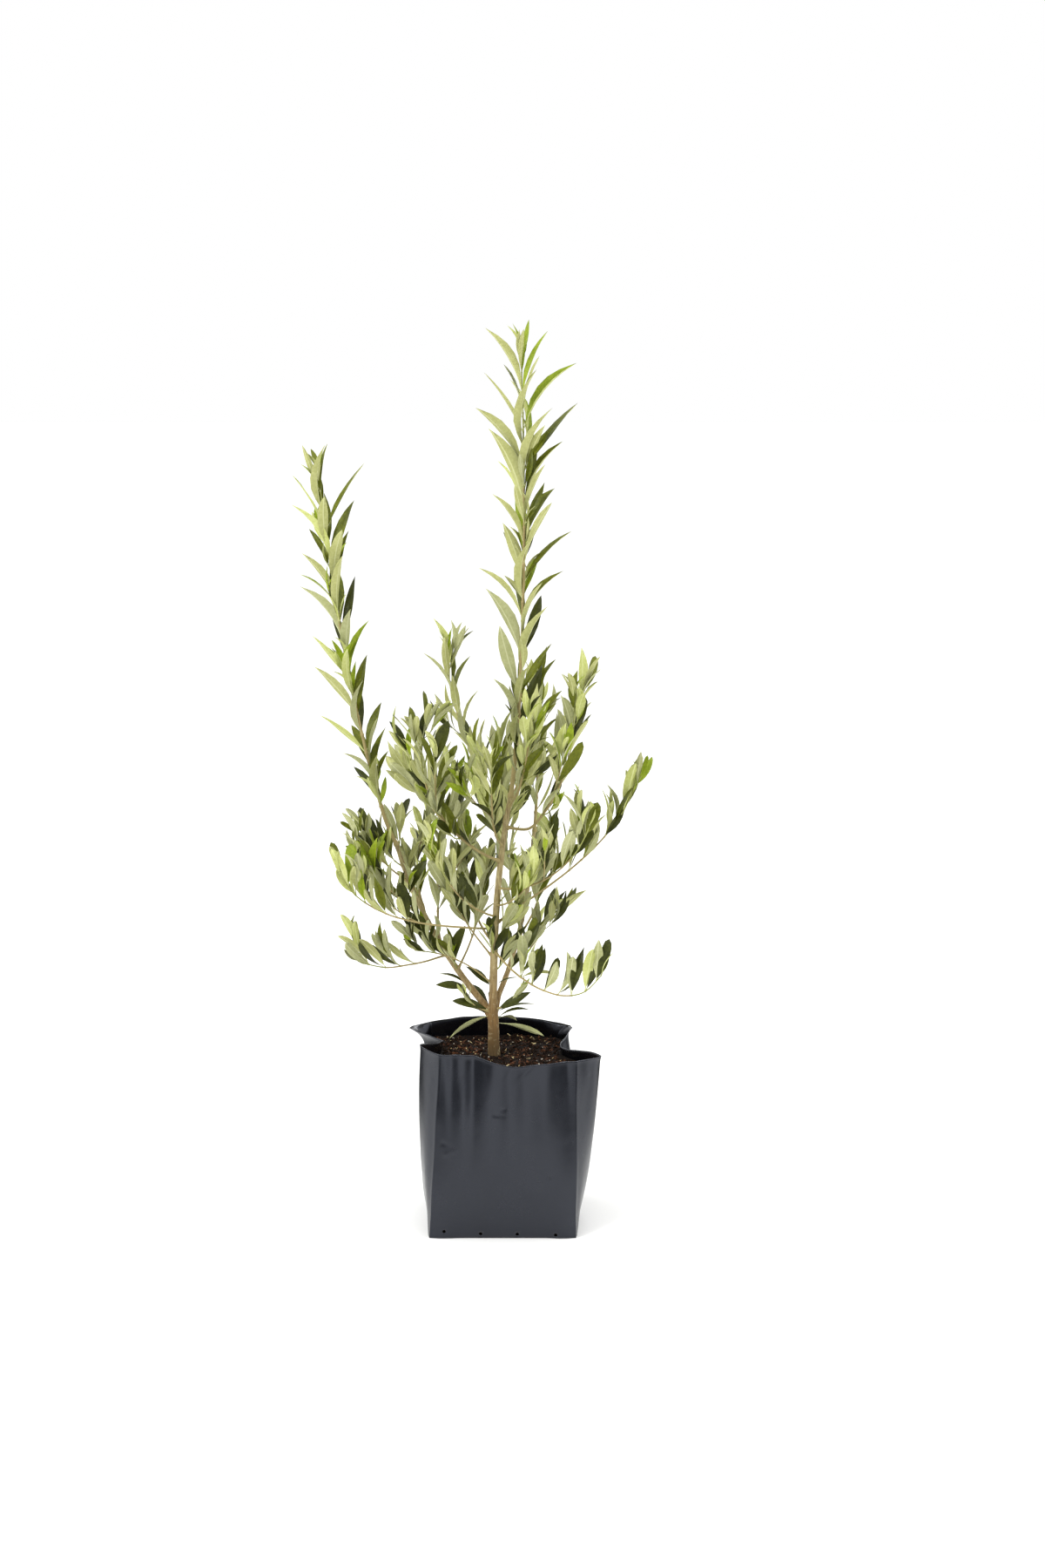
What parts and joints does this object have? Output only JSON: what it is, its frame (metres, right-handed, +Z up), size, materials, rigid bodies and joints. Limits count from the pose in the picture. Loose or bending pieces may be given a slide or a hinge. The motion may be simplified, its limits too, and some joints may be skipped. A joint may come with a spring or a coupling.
{
  "type": "potted olive tree",
  "caption": "Young olive tree with a short forked stem and upright leafy shoots, standing in a black gusseted nursery bag filled with potting mix.",
  "frame": {"origin": "middle of the nursery bag's flat underside", "axes": "+Z up along the stem, -Y towards the bag's front panel, +X to the right seen from the front"},
  "size_m": [0.3662, 0.2675, 0.9245],
  "materials": {
    "black_film": "satin",
    "potting_mix": "matte",
    "olive_bark": "matte",
    "young_bark": "matte",
    "olive_foliage": "satin"
  },
  "bodies": {
    "root": {"planter_bag": "black_film", "potting_mix": "potting_mix", "trunk": "olive_bark", "leader": "young_bark", "left_bough": "young_bark", "right_back_bough": "young_bark", "leader_shoot": "olive_foliage", "left_tall_shoot": "olive_foliage", "lower_right_shoot": "olive_foliage", "lower_left_shoot": "olive_foliage", "left_long_shoot": "olive_foliage", "right_long_shoot": "olive_foliage", "right_middle_shoot": "olive_foliage", "left_middle_shoot": "olive_foliage", "left_side_shoot": "olive_foliage", "left_inner_shoot": "olive_foliage", "centre_left_shoot": "olive_foliage", "small_tall_shoot": "olive_foliage", "right_crown_shoot": "olive_foliage", "right_back_shoot": "olive_foliage", "inner_left_shoot": "olive_foliage", "crossing_twig": "olive_foliage", "left_low_shoot": "olive_foliage", "right_low_twig": "olive_foliage", "foot_left_twig": "olive_foliage", "foot_right_twig": "olive_foliage", "front_left_shoot": "olive_foliage", "front_right_shoot": "olive_foliage", "front_middle_shoot": "olive_foliage", "front_high_shoot": "olive_foliage", "back_low_shoot": "olive_foliage", "back_left_shoot": "olive_foliage", "back_middle_shoot": "olive_foliage", "back_right_shoot": "olive_foliage", "back_high_shoot": "olive_foliage", "back_far_shoot": "olive_foliage"}
  },
  "joints": []
}
